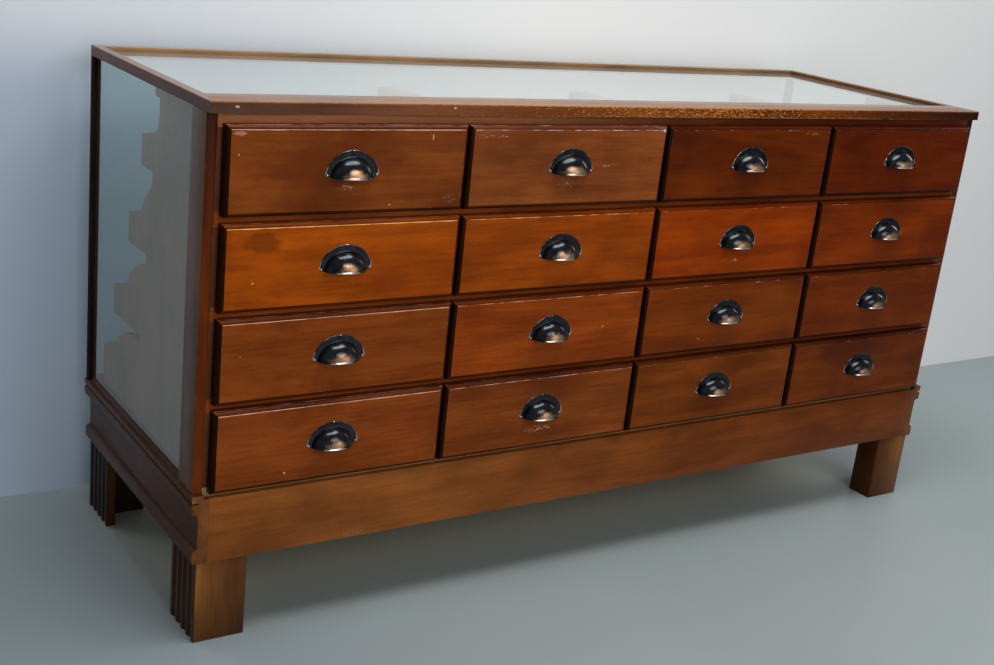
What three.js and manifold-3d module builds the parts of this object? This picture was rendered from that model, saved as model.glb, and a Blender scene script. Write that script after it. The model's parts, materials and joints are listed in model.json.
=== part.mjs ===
// A haberdashery cabinet: a shop counter with sixteen drawers on the keeper's side and a
// glazed top, sides and rear, through which the customer sees the low ends of the drawers.
// Millimetres, +Z up. The drawers face -Y, X runs along the counter, and the floor is at Z = 0.
import * as THREE from 'three';
import { mergeVertices } from 'three/addons/utils/BufferGeometryUtils.js';
import Module from 'manifold-3d';

const wasm = await Module();
wasm.setup();

// Overall sizes and counts
const frameWidth = 1800;
const frameDepth = 588;
const cabinetHeight = 930;
const rowCount = 4;
const columnCount = 4;

// Top frame, which lies on the case and holds the glass top in a rebate
const frameThick = 19;
const frontRailWidth = 80;
const sideRailWidth = 27;
const rearRailWidth = 27;
const glassDrop = 8;
const topGlassThick = 6;
const glassLedge = 8;
const glassPlay = 0.5;

// Legs and plinth
const legHeight = 152;
const plinthHeight = 118;
const plinthBoard = 18;
const plinthFace = 20;
const plinthInset = 9;
const floorThick = 18;
const legWidth = 93;
const legDepth = 60;
const legCheekDepth = 111;
const legSetback = 3;
const fluteCount = 4;
const fluteWidth = 18;
const fluteSpacing = 24.5;
const fluteSag = 3.5;

// Mouldings planted on the plinth's side boards, given from the board's outer face
const mouldProud = 12;
const mouldGap = 3;
const mouldHeight = 25;
const coveRadius = 7;
const torusFlat = 11;
const beadProud = 9;
const beadHeight = 26;
const beadFlat = 16;

// Sill under the three glass sides
const sillBase = 7;
const sillLip = 5;
const sillBar = 7;
const sillNose = 3;
const sillRound = 3;
const barSetback = 4;
const barLip = 1;

// Posts and panes
const caseSetback = 11.5;
const postThick = 18;
const frontPostDepth = 61;
const rearPostWidth = 14;
const rearPostDepth = 18;
const paneThick = 4;
const paneSetback = 7;
const grooveDepth = 5;
const sillGroove = 5;
const frameGroove = 6;
const paneSlack = 0.3;

// Rails, end panels and partitions that make the drawer openings
const railDepth = 40;
const topRailHeight = 22.5;
const railHeight = 25;
const bottomRailHeight = 16.7;
const endPanelThick = 15;
const partitionThick = 19;
const runnerWidth = 12;

// Stepped rear outline of the end panels and partitions, row by row from the top: a low nose
// beside the rear end of each drawer, and a step in above it, up to the next nose
const displayGap = 30;
const noseSetbacks = [186, 128, 54, 0];
const noseLifts = [0, 4, 2, 0];
const noseHeights = [55, 56, 57, 79];
const noseSlopes = [50, 64, 72, 72];
const noseRises = [12, 16, 22, 26];
const recessSetbacks = [248, 244, 224, 199, 181];
const recessHeights = [22.5, 26, 20, 15];
const topCove = 34;
const fallLength = 170;
const fallSags = [5, 15, 14];

// Drawers
const drawerPlay = 0.3;
const drawerSidePlay = 1.2;
const drawerTopPlay = 2.5;
const sideThick = 10;
const bottomThick = 5;
const bottomInset = 6;
const noseTrim = 3;
const housing = 1;
const frontThick = 20;
const frontGap = 0.25;
const frontOverlap = 7;
const edgeWidth = 7;
const edgeRound = 6;
const edgeRoundDepth = 6;
const edgeFillet = 1.5;

// Cup pulls
const pullWidth = 98;
const pullHeight = 45;
const pullReach = 26;
const pullFlange = 11;
const pullPlate = 1.6;
const pullRaise = 11;

// One overrun serves every cut, and these counts set how finely the curves are divided
const overrun = 2;
const arcSteps = 4;
const cupSteps = 12;
const cupRoundSteps = 16;

// Heights worked out from the sizes above
const plinthTop = legHeight + plinthHeight;
const caseTop = cabinetHeight - frameThick;
const sillTop = plinthTop + sillBase;
const barTop = sillTop + sillBar;
const openingsHeight =
  caseTop - topRailHeight - plinthTop - bottomRailHeight - railHeight * (rowCount - 1);
const openingHeight = openingsHeight / rowCount;
const rowPitch = openingHeight + railHeight;

// Places across the counter, from its middle
const outerX = frameWidth / 2;
const postX = outerX - postThick;
const panelX = postX - endPanelThick;
const boardX = outerX - plinthInset;
const boardInnerX = boardX - plinthBoard;
const paneX = outerX - paneSetback;
const openingWidth = (2 * panelX - partitionThick * (columnCount - 1)) / columnCount;
const columnPitch = openingWidth + partitionThick;

// Places from the front edge of the top frame to the rear
const frontPostRear = caseSetback + frontPostDepth;
const rearPostFront = frameDepth - rearPostDepth;
const railRear = caseSetback + railDepth;
const rearPaneY = frameDepth - paneSetback;
const sillInnerRear = frameDepth - postThick - sillNose;
const bottomReach = sillInnerRear - displayGap;
const frontFace = caseSetback - frontGap - frontThick;

const openingBottom = (row) => plinthTop + bottomRailHeight + rowPitch * (rowCount - 1 - row);
const openingTop = (row) => openingBottom(row) + openingHeight;
const columnCentre = (column) => (column - (columnCount - 1) / 2) * columnPitch;
const noseReach = (row) => bottomReach - noseSetbacks[row];
const noseBottom = (row) => openingBottom(row) + noseLifts[row];
const recessReach = (row) => bottomReach - recessSetbacks[row];
const recessBottom = (row) => (row === 0 ? caseTop : noseBottom(row - 1)) - recessHeights[row];

const finish = (color, roughness, metalness = 0, opacity = 1) =>
  new THREE.MeshStandardMaterial({ color, roughness, metalness, opacity, transparent: opacity < 1 });
const mahogany = finish(0x6b3314, 0.4);
const darkMahogany = finish(0x3d2620, 0.45);
const drawerMahogany = finish(0x7a3a14, 0.38);
const panelWood = finish(0x6a5540, 0.6);
const floorWood = finish(0x5a4330, 0.6);
const clearGlass = finish(0xcfe0dc, 0.05, 0, 0.3);
const wornMetal = finish(0x3a3c42, 0.35, 0.9);

// A closed geometry as a solid for joining and cutting
function solid(geometry) {
  const bare = geometry.clone();
  bare.deleteAttribute('normal');
  bare.deleteAttribute('uv');
  const merged = mergeVertices(bare);
  const mesh = new wasm.Mesh({
    numProp: 3,
    vertProperties: new Float32Array(merged.attributes.position.array),
    triVerts: new Uint32Array(merged.index.array),
  });
  return new wasm.Manifold(mesh);
}

// A joined or cut solid back as a geometry with flat facets
function geometryOf(body) {
  const mesh = body.getMesh();
  const geometry = new THREE.BufferGeometry();
  geometry.setAttribute('position', new THREE.BufferAttribute(mesh.vertProperties, mesh.numProp));
  geometry.setIndex(new THREE.BufferAttribute(mesh.triVerts, 1));
  const faceted = geometry.toNonIndexed();
  faceted.computeVertexNormals();
  return faceted;
}

// A rectangular block between two opposite corners
function block([x0, y0, z0], [x1, y1, z1]) {
  const box = new THREE.BoxGeometry(x1 - x0, y1 - y0, z1 - z0);
  return box.translate((x0 + x1) / 2, (y0 + y1) / 2, (z0 + z1) / 2);
}

const blockSolid = (low, high) => solid(block(low, high));
const join = (bodies) => bodies.reduce((whole, body) => whole.add(body));
const cut = (whole, bodies) => bodies.reduce((rest, body) => rest.subtract(body), whole);

function extrude(shape, depth) {
  return new THREE.ExtrudeGeometry(shape, { depth, bevelEnabled: false, curveSegments: arcSteps });
}

// An outline drawn in (y, z), run along X from x0 to x1
function alongX(shape, x0, x1) {
  const turn = new THREE.Matrix4().makeBasis(
    new THREE.Vector3(0, 1, 0),
    new THREE.Vector3(0, 0, 1),
    new THREE.Vector3(1, 0, 0),
  );
  return extrude(shape, x1 - x0).applyMatrix4(turn).translate(x0, 0, 0);
}

// An outline drawn in (x, z), run along Y from y0 to y1
function alongY(shape, y0, y1) {
  return extrude(shape, y1 - y0).rotateX(Math.PI / 2).translate(0, y1, 0);
}

// An outline drawn in (x, y), run along Z from z0 to z1
function alongZ(shape, z0, z1) {
  return extrude(shape, z1 - z0).translate(0, 0, z0);
}

// A bowed line to (x, y): its middle stands off the straight line by the sag, to its right
function bowTo(shape, x, y, sag) {
  const from = shape.currentPoint.clone();
  const run = new THREE.Vector2(x, y).sub(from);
  const bulge = new THREE.Vector2(run.y, -run.x).setLength(2 * sag);
  const middle = from.clone().addScaledVector(run, 1 / 2).add(bulge);
  shape.quadraticCurveTo(middle.x, middle.y, x, y);
}

function outline(points) {
  return new THREE.Shape(points.map(([u, v]) => new THREE.Vector2(u, v)));
}

// The same solid on the other side of the counter's middle
const mirrored = (body) => body.mirror([1, 0, 0]);

// Top frame: four rails in one flat frame, rebated for the glass and grooved for the panes
function topFrame() {
  const inner = outerX - sideRailWidth;
  const rearInner = frameDepth - rearRailWidth;
  const ledgeTop = cabinetHeight - glassDrop - topGlassThick;
  const grooveTop = caseTop + frameGroove;
  const slab = blockSolid([-outerX, 0, caseTop], [outerX, frameDepth, cabinetHeight]);
  const opening = blockSolid(
    [-inner, frontRailWidth, caseTop - overrun],
    [inner, rearInner, cabinetHeight + overrun],
  );
  const rebate = blockSolid(
    [-inner - glassLedge, frontRailWidth - glassLedge, ledgeTop],
    [inner + glassLedge, rearInner + glassLedge, cabinetHeight + overrun],
  );
  const sideGroove = blockSolid(
    [paneX - paneThick - paneSlack, frontPostRear - grooveDepth, caseTop - overrun],
    [paneX + paneSlack, rearPostFront + grooveDepth, grooveTop],
  );
  const rearGroove = blockSolid(
    [-outerX + rearPostWidth - grooveDepth, rearPaneY - paneThick - paneSlack, caseTop - overrun],
    [outerX - rearPostWidth + grooveDepth, rearPaneY + paneSlack, grooveTop],
  );
  return cut(slab, [opening, rebate, sideGroove, mirrored(sideGroove), rearGroove]);
}

// Glass top, lying on the rebate of the frame
function topGlass() {
  const halfWidth = outerX - sideRailWidth + glassLedge - glassPlay;
  const bottom = cabinetHeight - glassDrop - topGlassThick;
  return block(
    [-halfWidth, frontRailWidth - glassLedge + glassPlay, bottom],
    [halfWidth, frameDepth - rearRailWidth + glassLedge - glassPlay, bottom + topGlassThick],
  );
}

// A side pane stands in grooves in the sill, the posts and the top frame
function sidePane() {
  return block(
    [paneX - paneThick, frontPostRear - grooveDepth + paneSlack, barTop - sillGroove],
    [paneX, rearPostFront + grooveDepth - paneSlack, caseTop + frameGroove - paneSlack],
  );
}

function rearPane() {
  const halfWidth = outerX - rearPostWidth + grooveDepth - paneSlack;
  return block(
    [-halfWidth, rearPaneY - paneThick, barTop - sillGroove],
    [halfWidth, rearPaneY, caseTop + frameGroove - paneSlack],
  );
}

// Front post: a wide stile, grooved at its rear edge for the side pane
function frontPost() {
  const body = blockSolid([postX, caseSetback, sillTop], [outerX, frontPostRear, caseTop]);
  const groove = blockSolid(
    [paneX - paneThick - paneSlack, frontPostRear - grooveDepth, sillTop - overrun],
    [paneX + paneSlack, frontPostRear + overrun, caseTop + overrun],
  );
  return cut(body, [groove]);
}

// Rear corner post: a slim bar with one groove for each of the two panes that meet there
function rearPost() {
  const innerX = outerX - rearPostWidth;
  const body = blockSolid([innerX, rearPostFront, sillTop], [outerX, frameDepth, caseTop]);
  const sideGroove = blockSolid(
    [paneX - paneThick - paneSlack, rearPostFront - overrun, sillTop - overrun],
    [paneX + paneSlack, rearPostFront + grooveDepth, caseTop + overrun],
  );
  const rearGroove = blockSolid(
    [innerX - overrun, rearPaneY - paneThick - paneSlack, sillTop - overrun],
    [innerX + grooveDepth, rearPaneY + paneSlack, caseTop + overrun],
  );
  return cut(body, [sideGroove, rearGroove]);
}

// Outline of the base of a side sill in (x, z): a rounded nose with a lip over the plinth
function sillNosing() {
  const noseX = outerX + sillNose;
  const lipZ = plinthTop - sillLip;
  const shape = new THREE.Shape();
  shape.moveTo(postX, plinthTop);
  shape.lineTo(boardX, plinthTop);
  shape.lineTo(boardX, lipZ);
  shape.lineTo(noseX - sillRound, lipZ);
  shape.quadraticCurveTo(noseX, lipZ, noseX, lipZ + sillRound);
  shape.lineTo(noseX, sillTop - sillRound);
  shape.quadraticCurveTo(noseX, sillTop, noseX - sillRound, sillTop);
  shape.lineTo(postX, sillTop);
  shape.closePath();
  return shape;
}

// Sill frame: side sills and a rear sill in one frame, with a bevelled and grooved bar on top
function sillFrame() {
  const rearInnerX = outerX - rearPostWidth;
  const barOuter = outerX - barSetback;
  const rearBarOuter = frameDepth - barSetback;
  const grooveZ = barTop - sillGroove;
  const sideBar = outline([
    [postX, sillTop - housing],
    [barOuter, sillTop - housing],
    [barOuter, sillTop],
    [paneX + barLip, barTop],
    [postX, barTop],
  ]);
  const rearBar = outline([
    [sillInnerRear, sillTop - housing],
    [rearBarOuter, sillTop - housing],
    [rearBarOuter, sillTop],
    [rearPaneY + barLip, barTop],
    [sillInnerRear, barTop],
  ]);
  const sideSill = solid(alongY(sillNosing(), 0, frameDepth));
  const sideBars = solid(alongY(sideBar, frontPostRear, rearPostFront));
  const rearSill = blockSolid(
    [-postX - housing, sillInnerRear, plinthTop],
    [postX + housing, frameDepth, sillTop],
  );
  const rearBars = solid(alongX(rearBar, -rearInnerX, rearInnerX));
  const sideGroove = blockSolid(
    [paneX - paneThick - paneSlack, frontPostRear - overrun, grooveZ],
    [paneX + paneSlack, rearPostFront + overrun, barTop + overrun],
  );
  const rearGroove = blockSolid(
    [-rearInnerX - overrun, rearPaneY - paneThick - paneSlack, grooveZ],
    [rearInnerX + overrun, rearPaneY + paneSlack, barTop + overrun],
  );
  const frame = join([sideSill, mirrored(sideSill), sideBars, mirrored(sideBars), rearSill, rearBars]);
  return cut(frame, [sideGroove, mirrored(sideGroove), rearGroove]);
}

// Plinth side: a board with a torus and cove under the sill and a bead along its lower edge,
// as one outline in (x, z)
function plinthSide() {
  const mouldTop = plinthTop - sillLip - mouldGap;
  const mouldBottom = mouldTop - mouldHeight;
  const torusBottom = mouldBottom + coveRadius;
  const torusRound = (mouldHeight - coveRadius - torusFlat) / 2;
  const noseX = boardX + mouldProud;
  const beadX = boardX + beadProud;
  const beadTop = legHeight + beadHeight;
  const beadShoulder = legHeight + beadFlat;
  const beadRound = (beadHeight - beadFlat) / 2;
  const shape = new THREE.Shape();
  shape.moveTo(boardInnerX, legHeight);
  shape.lineTo(beadX - beadRound, legHeight);
  shape.quadraticCurveTo(beadX, legHeight, beadX, legHeight + beadRound);
  shape.lineTo(beadX, beadShoulder);
  shape.quadraticCurveTo(beadX, beadTop, boardX, beadTop);
  shape.lineTo(boardX, mouldBottom);
  shape.quadraticCurveTo(boardX, torusBottom, boardX + coveRadius, torusBottom);
  shape.lineTo(noseX - torusRound, torusBottom);
  shape.quadraticCurveTo(noseX, torusBottom, noseX, torusBottom + torusRound);
  shape.lineTo(noseX, mouldTop - torusRound);
  shape.quadraticCurveTo(noseX, mouldTop, noseX - torusRound, mouldTop);
  shape.lineTo(boardX, mouldTop);
  shape.lineTo(boardX, plinthTop);
  shape.lineTo(boardInnerX, plinthTop);
  shape.closePath();
  return solid(alongY(shape, 0, frameDepth));
}

// Plain boards that close the plinth in front and behind
function plinthBoardBetween(y0, y1) {
  return block([-boardInnerX, y0, legHeight], [boardInnerX, y1, plinthTop]);
}

// Floor of the case, flush with the plinth, with the lipping that is the bottom drawer rail
function caseFloor() {
  const floor = blockSolid(
    [-boardInnerX, plinthFace, plinthTop - floorThick],
    [boardInnerX, frameDepth - plinthFace, plinthTop],
  );
  const lipping = blockSolid(
    [-postX, caseSetback, plinthTop],
    [postX, railRear, plinthTop + bottomRailHeight],
  );
  const rootedLipping = blockSolid(
    [-boardInnerX, plinthFace, plinthTop - housing],
    [boardInnerX, railRear, plinthTop + housing],
  );
  return join([floor, rootedLipping, lipping]);
}

// Leg: a fluted cheek on the outer side, a block behind the front face, and the block's
// upper part, which is screwed into the corner of the plinth
function leg() {
  const front = legSetback;
  const cheekRear = front + legCheekDepth;
  const innerX = boardX - legWidth;
  const margin = (legCheekDepth - fluteSpacing * (fluteCount - 1) - fluteWidth) / 2;
  const cheek = new THREE.Shape();
  cheek.moveTo(boardInnerX, cheekRear);
  cheek.lineTo(boardInnerX, front);
  cheek.lineTo(boardX, front);
  for (let flute = 0; flute < fluteCount; flute += 1) {
    const start = front + margin + fluteSpacing * flute;
    cheek.lineTo(boardX, start);
    bowTo(cheek, boardX, start + fluteWidth, -fluteSag);
  }
  cheek.lineTo(boardX, cheekRear);
  cheek.closePath();
  return join([
    solid(alongZ(cheek, 0, legHeight)),
    blockSolid([innerX, front, 0], [boardInnerX + housing, front + legDepth, legHeight]),
    blockSolid(
      [innerX, plinthFace, legHeight - housing],
      [boardInnerX, front + legDepth, plinthTop - floorThick],
    ),
  ]);
}

// A leg as it stands at the rear, turned front to back
const rearLeg = (body) => body.mirror([0, 1, 0]).translate([0, frameDepth, 0]);

// One row's stretch of the stepped outline, from the underside of its nose up to its top edge.
// In the top row it drops through a cove, and in the others it falls away at a slant.
function noseOutline(shape, row, { base, reach, height, top }) {
  const lowEnd = reach - noseSlopes[row];
  const lowTop = base + height + noseRises[row];
  shape.lineTo(reach, base);
  shape.lineTo(reach, base + height);
  shape.lineTo(lowEnd, lowTop);
  if (row === 0) {
    shape.quadraticCurveTo(lowEnd - topCove, lowTop, lowEnd - topCove, lowTop + topCove);
    shape.lineTo(lowEnd - topCove, top);
    return;
  }
  bowTo(shape, Math.max(reach - fallLength, recessReach(row)), top, fallSags[row - 1]);
}

// The stepped outline in (y, z) that end panels and partitions share, notched for the rails
function steppedOutline() {
  const shape = new THREE.Shape();
  shape.moveTo(railRear, plinthTop);
  shape.lineTo(recessReach(rowCount), plinthTop);
  for (let row = rowCount - 1; row >= 0; row -= 1) {
    const base = noseBottom(row);
    const top = recessBottom(row);
    shape.lineTo(recessReach(row + 1), base);
    noseOutline(shape, row, { base, reach: noseReach(row), height: noseHeights[row], top });
    shape.lineTo(recessReach(row), top);
  }
  shape.lineTo(recessReach(0), caseTop);
  shape.lineTo(railRear, caseTop);
  for (let row = 0; row < rowCount; row += 1) {
    shape.lineTo(railRear, openingTop(row));
    shape.lineTo(caseSetback, openingTop(row));
    shape.lineTo(caseSetback, openingBottom(row));
    shape.lineTo(railRear, openingBottom(row));
  }
  shape.closePath();
  return shape;
}

// Runners and kickers in the steps between the openings, on one face of a panel or partition
function runners(x0, x1) {
  const strips = [];
  for (let step = 0; step <= rowCount; step += 1) {
    const top = step === 0 ? caseTop : openingBottom(step - 1);
    const bottom = step === rowCount ? plinthTop : openingTop(step);
    strips.push(blockSolid([x0, railRear, bottom], [x1, recessReach(step), top]));
  }
  return strips;
}

function partition() {
  const face = partitionThick / 2;
  const board = solid(alongX(steppedOutline(), -face, face));
  return join([
    board,
    ...runners(face - housing, face + runnerWidth),
    ...runners(-face - runnerWidth, -face + housing),
  ]);
}

function endPanel() {
  const board = solid(alongX(steppedOutline(), panelX, postX));
  return join([board, ...runners(panelX - runnerWidth, panelX + housing)]);
}

// A rail across the whole front, from post to post
function rail(bottom, top) {
  return block([-postX, caseSetback, bottom], [postX, railRear, top]);
}

// Drawer front: a board whose edge is an ovolo and a small fillet, built as rings of four
// corners, each ring given by how far it stands in from the edge and out from the back
function mouldedFront() {
  const halfWidth = openingWidth / 2 + frontOverlap;
  const bottom = -frontOverlap - drawerPlay;
  const top = openingHeight + frontOverlap - drawerPlay;
  const rings = [[0, 0]];
  for (let step = 0; step <= arcSteps; step += 1) {
    const angle = (step / arcSteps) * (Math.PI / 2);
    const inset = edgeRound * (1 - Math.cos(angle));
    const depth = frontThick - edgeFillet - edgeRoundDepth * (1 - Math.sin(angle));
    rings.push([inset, depth]);
  }
  rings.push([edgeWidth, frontThick]);
  const points = rings.flatMap(([inset, depth]) => {
    const y = caseSetback - frontGap - depth;
    const x = halfWidth - inset;
    return [
      [-x, y, bottom + inset],
      [x, y, bottom + inset],
      [x, y, top - inset],
      [-x, y, top - inset],
    ].flat();
  });
  const corners = 4;
  const last = (rings.length - 1) * corners;
  const faces = [0, 2, 1, 0, 3, 2, last, last + 1, last + 2, last, last + 2, last + 3];
  for (let ring = 0; ring < last; ring += corners) {
    for (let side = 0; side < corners; side += 1) {
      const a = ring + side;
      const b = ring + ((side + 1) % corners);
      faces.push(a, b, b + corners, a, b + corners, a + corners);
    }
  }
  const geometry = new THREE.BufferGeometry();
  geometry.setAttribute('position', new THREE.Float32BufferAttribute(points, 3));
  geometry.setIndex(faces);
  return geometry;
}

// Drawer: moulded front, inner front, two sides cut down behind, low back and thin bottom.
// It is drawn with its underside at z = 0 and its middle at x = 0.
function drawer(row) {
  const half = openingWidth / 2 - drawerSidePlay;
  const front = caseSetback - frontGap - housing;
  const innerRear = caseSetback - frontGap + sideThick;
  const reach = noseReach(row) - noseTrim;
  const height = noseLifts[row] + noseHeights[row] - noseTrim;
  const top = openingHeight - drawerTopPlay;
  const side = new THREE.Shape();
  side.moveTo(front, 0);
  noseOutline(side, row, { base: 0, reach, height, top });
  side.lineTo(front, top);
  side.closePath();
  // The bow of the slant is planed off level with the rest of the side
  const level = blockSolid([half - sideThick, front - overrun, -overrun], [half, reach + overrun, top]);
  const sideBoard = solid(alongX(side, half - sideThick, half)).intersect(level);
  const slot = half - sideThick + housing;
  return join([
    solid(mouldedFront()),
    sideBoard,
    mirrored(sideBoard),
    blockSolid([-slot, front, 0], [slot, innerRear, top]),
    blockSolid([-slot, reach - sideThick, 0], [slot, reach, height]),
    blockSolid([-slot, front, bottomInset], [slot, reach - housing, bottomInset + bottomThick]),
  ]);
}

// Cup pull: an arched flange screwed to the drawer front and a thin cup open underneath.
// Its back lies in the plane y = 0 and its mouth in z = 0.
function cupPull() {
  const halfWidth = pullWidth / 2;
  const cupHalf = halfWidth - pullFlange;
  const cupHeight = pullHeight - pullFlange;
  const ellipsoid = (x, y, z) => {
    const ball = new THREE.SphereGeometry(1, cupRoundSteps, cupSteps);
    return solid(ball.rotateZ(Math.PI / 2).scale(x, y, z));
  };
  const shell = ellipsoid(cupHalf, pullReach, cupHeight).subtract(
    ellipsoid(cupHalf - pullPlate, pullReach - pullPlate, cupHeight - pullPlate),
  );
  const quarter = blockSolid([-halfWidth, -pullReach - overrun, 0], [halfWidth, 0, pullHeight]);
  const arch = new THREE.Shape();
  arch.absellipse(0, 0, halfWidth, pullHeight, 0, Math.PI);
  arch.lineTo(-cupHalf + pullPlate, 0);
  arch.absellipse(0, 0, cupHalf - pullPlate, cupHeight - pullPlate, Math.PI, 0, true);
  arch.closePath();
  const archOptions = { depth: pullPlate, bevelEnabled: false, curveSegments: cupSteps };
  const flange = new THREE.ExtrudeGeometry(arch, archOptions).rotateX(Math.PI / 2);
  return shell.intersect(quarter).add(solid(flange));
}

const cabinet = new THREE.Group();

function place(name, body, material, parent = cabinet) {
  const geometry = body.isBufferGeometry ? body : geometryOf(body);
  const mesh = new THREE.Mesh(geometry, material);
  mesh.name = name;
  parent.add(mesh);
  return mesh;
}

place('top_frame', topFrame(), mahogany);
place('top_glass', topGlass(), clearGlass);
place('side_glass_right', sidePane(), clearGlass);
place('side_glass_left', mirrored(solid(sidePane())), clearGlass);
place('rear_glass', rearPane(), clearGlass);
place('front_post_right', frontPost(), darkMahogany);
place('front_post_left', mirrored(frontPost()), darkMahogany);
place('rear_post_right', rearPost(), darkMahogany);
place('rear_post_left', mirrored(rearPost()), darkMahogany);
place('sill_frame', sillFrame(), darkMahogany);
place('plinth_side_right', plinthSide(), darkMahogany);
place('plinth_side_left', mirrored(plinthSide()), darkMahogany);
place('plinth_front', plinthBoardBetween(0, plinthFace), mahogany);
place('plinth_rear', plinthBoardBetween(frameDepth - plinthFace, frameDepth), mahogany);
place('case_floor', caseFloor(), floorWood);
place('front_leg_right', leg(), mahogany);
place('front_leg_left', mirrored(leg()), mahogany);
place('rear_leg_right', rearLeg(leg()), mahogany);
place('rear_leg_left', mirrored(rearLeg(leg())), mahogany);
place('end_panel_right', endPanel(), panelWood);
place('end_panel_left', mirrored(endPanel()), panelWood);

const partitionNames = ['left', 'middle', 'right'];
partitionNames.forEach((side, index) => {
  const middle = (columnCentre(index) + columnCentre(index + 1)) / 2;
  place(`partition_${side}`, partition().translate([middle, 0, 0]), panelWood);
});

const rowNames = ['top', 'upper', 'lower', 'bottom'];
place('rail_top', rail(openingTop(0), caseTop), mahogany);
for (let row = 1; row < rowCount; row += 1) {
  place(`rail_${rowNames[row]}`, rail(openingTop(row), openingBottom(row - 1)), mahogany);
}

for (let row = 0; row < rowCount; row += 1) {
  for (let column = 0; column < columnCount; column += 1) {
    const slot = new THREE.Group();
    slot.position.set(columnCentre(column), 0, openingBottom(row) + drawerPlay);
    cabinet.add(slot);
    const number = `${rowNames[row]}_${column + 1}`;
    place(`drawer_${number}`, drawer(row), drawerMahogany, slot);
    const pull = place(`pull_${number}`, cupPull(), wornMetal, slot);
    const pullBottom = (openingHeight - pullHeight) / 2 + pullRaise;
    pull.position.set(0, frontFace, pullBottom - drawerPlay);
  }
}

// The origin is on the floor under the middle of the whole cabinet, pulls included
cabinet.position.y = -(frameDepth + frontFace - pullReach) / 2;

export default cabinet;
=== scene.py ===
# %% [markdown]
# # A haberdashery cabinet, finished for its photograph
#
# The cabinet is a long mahogany counter. The shopkeeper has sixteen drawers with cup pulls, and the
# customer looks through a glazed top, side or rear at the low ends of those drawers. A hundred years of
# use have rubbed the arrises pale and worn the pulls to copper. The edges of the drawer fronts are
# darker, and on the left and lower edges that dark is painted shade.
#
# The imported model already holds every piece at its real size and in its real place, so nothing is
# measured again here. Each lesson takes one kind of piece, makes its surface fine enough to be looked at
# closely, and gives it a finish that is computed from noise and from a few notes left on the mesh.

# %% Load the imported cabinet
import json
import math
import random

import bmesh
import bpy
from mathutils import Matrix, Vector

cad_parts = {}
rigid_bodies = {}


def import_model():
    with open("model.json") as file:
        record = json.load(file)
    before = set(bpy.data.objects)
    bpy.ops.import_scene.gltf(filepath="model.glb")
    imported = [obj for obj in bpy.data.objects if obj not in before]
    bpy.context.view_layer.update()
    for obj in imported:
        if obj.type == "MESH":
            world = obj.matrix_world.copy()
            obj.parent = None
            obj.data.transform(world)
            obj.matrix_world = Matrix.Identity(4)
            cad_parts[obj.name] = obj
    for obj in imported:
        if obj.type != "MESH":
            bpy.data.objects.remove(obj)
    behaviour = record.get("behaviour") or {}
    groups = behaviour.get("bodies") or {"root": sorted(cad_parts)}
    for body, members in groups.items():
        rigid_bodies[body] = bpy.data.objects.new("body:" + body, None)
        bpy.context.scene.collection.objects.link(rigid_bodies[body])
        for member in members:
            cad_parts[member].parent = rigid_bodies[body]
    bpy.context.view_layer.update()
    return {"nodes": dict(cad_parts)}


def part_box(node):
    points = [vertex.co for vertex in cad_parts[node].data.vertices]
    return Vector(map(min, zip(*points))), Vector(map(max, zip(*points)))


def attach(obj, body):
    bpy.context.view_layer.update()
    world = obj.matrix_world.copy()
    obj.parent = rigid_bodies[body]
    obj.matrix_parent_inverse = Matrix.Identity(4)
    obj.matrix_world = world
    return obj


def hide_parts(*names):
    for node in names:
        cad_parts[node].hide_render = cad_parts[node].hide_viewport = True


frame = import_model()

mm = 0.001

# %% [markdown]
# ## Shader maths that reads like arithmetic
#
# A finish is a graph of nodes. The first class wraps one socket and overloads the operators, so `1 - wear`
# or `grain * 0.5` adds the Math node it needs. The second owns the material and makes every other node
# through one method, which takes the node's type, its settings and the values of its sockets.

# %% A socket that can be added and multiplied
class Signal:
    """One output socket of a finish, usable in Python expressions."""

    def __init__(self, finish, socket):
        self.finish, self.socket = finish, socket

    def math(self, operation, *values):
        inputs = dict(enumerate(values))
        return self.finish.node("ShaderNodeMath", {"operation": operation}, inputs)

    def larger(self, other):
        return self.math("MAXIMUM", self, other)

    def step(self, low, high):
        """0 below low, 1 above high, and a smooth slope between them."""
        inputs = {"Value": self, "From Min": low, "From Max": high}
        return self.finish.node("ShaderNodeMapRange", {"interpolation_type": "SMOOTHSTEP"}, inputs)


OPERATIONS = {"add": "ADD", "sub": "SUBTRACT", "mul": "MULTIPLY", "truediv": "DIVIDE", "pow": "POWER"}
for sign, kind in OPERATIONS.items():
    setattr(Signal, f"__{sign}__", lambda self, other, kind=kind: self.math(kind, self, other))
    setattr(Signal, f"__r{sign}__", lambda self, other, kind=kind: self.math(kind, other, self))

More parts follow.
